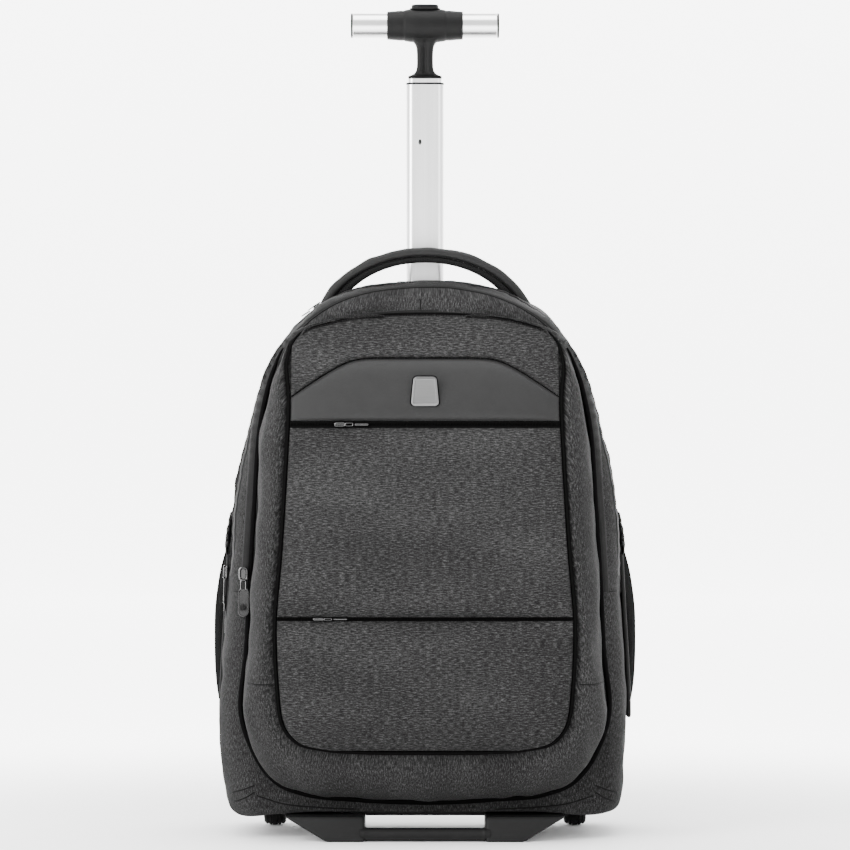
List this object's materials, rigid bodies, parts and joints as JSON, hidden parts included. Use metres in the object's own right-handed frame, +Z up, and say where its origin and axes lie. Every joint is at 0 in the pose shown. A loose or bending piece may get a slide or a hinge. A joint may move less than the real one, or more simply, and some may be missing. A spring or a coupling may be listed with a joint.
{
  "type": "wheeled backpack",
  "caption": "Padded cloth backpack on a moulded base with wheels and a telescopic T-grip pole behind its carry handle.",
  "frame": {"origin": "on the floor, under the middle of the whole part's footprint", "axes": "+Z up, the front of the bag faces -Y, +X to the right of someone looking at the front"},
  "size_m": [0.3832, 0.2374, 0.7515],
  "materials": {
    "melange": "two-tone grey melange cloth",
    "zip": "black coil zip tape",
    "smooth_leather": "smooth matt leatherette",
    "dark_metal": "gunmetal",
    "mesh": "black air mesh",
    "dark_cloth": "plain dark cloth",
    "black_plastic": "fine matt",
    "webbing": "black woven webbing",
    "aluminium": "satin anodised",
    "base_plastic": "matt moulded",
    "tyre": "matt"
  },
  "bodies": {
    "bag": {"bag_shell": "melange", "main_zip_tape": "zip", "front_compartment": "melange", "front_zip_tape": "zip", "lower_pocket_panel": "melange", "upper_pocket_panel": "melange", "flap_panel": "smooth_leather", "yoke_panel": "melange", "lower_pocket_zip": "zip", "upper_pocket_zip": "zip", "badge": "dark_metal", "side_pocket_right": "mesh", "side_pocket_left": "mesh", "pocket_hem_right": "dark_cloth", "pocket_hem_left": "dark_cloth", "handle_cover": "smooth_leather", "handle_underside": "mesh", "back_pad": "mesh", "shoulder_strap_right": "melange", "strap_buckle_right": "black_plastic", "strap_webbing_right": "webbing", "shoulder_strap_left": "melange", "strap_buckle_left": "black_plastic", "strap_webbing_left": "webbing", "pole_sleeve": "black_plastic", "pole_bezel": "black_plastic", "base_tray": "base_plastic", "front_feet": "base_plastic", "axle_right": "dark_metal", "axle_left": "dark_metal", "side_zip_slider": "dark_metal", "side_zip_pull": "dark_metal", "top_zip_slider": "dark_metal", "top_zip_pull": "dark_metal", "front_zip_slider": "dark_metal", "front_zip_pull": "dark_metal", "upper_pocket_slider": "dark_metal", "lower_pocket_slider": "dark_metal"},
    "lower_stage": {"lower_stage": "aluminium", "lower_stage_bushing": "black_plastic"},
    "upper_stage": {"upper_stage": "aluminium", "grip_body": "black_plastic", "grip_tube_right": "aluminium", "grip_tube_left": "aluminium", "grip_cap_right": "black_plastic", "grip_cap_left": "black_plastic"},
    "button": {"grip_button": "black_plastic"},
    "wheel_right": {"tyre_right": "tyre", "hub_right": "base_plastic"},
    "wheel_left": {"tyre_left": "tyre", "hub_left": "base_plastic"}
  },
  "joints": [
    {"name": "lower_stage_slide", "type": "slide", "parent": "bag", "child": "lower_stage", "axis": [0, 0, 1], "range_m": [-0.175, 0]},
    {"name": "upper_stage_slide", "type": "slide", "parent": "lower_stage", "child": "upper_stage", "axis": [0, 0, 1], "range_m": [0, 0.185]},
    {"name": "button_press", "type": "slide", "parent": "upper_stage", "child": "button", "axis": [0, 0, 1], "range_m": [-0.003, 0], "stiffness_N_per_m": 300},
    {"name": "wheel_right_spin", "type": "hinge", "parent": "bag", "child": "wheel_right", "pos_m": [0.137, 0.07039, 0.03], "axis": [1, 0, 0], "continuous": true},
    {"name": "wheel_left_spin", "type": "hinge", "parent": "bag", "child": "wheel_left", "pos_m": [-0.137, 0.07039, 0.03], "axis": [1, 0, 0], "continuous": true}
  ]
}
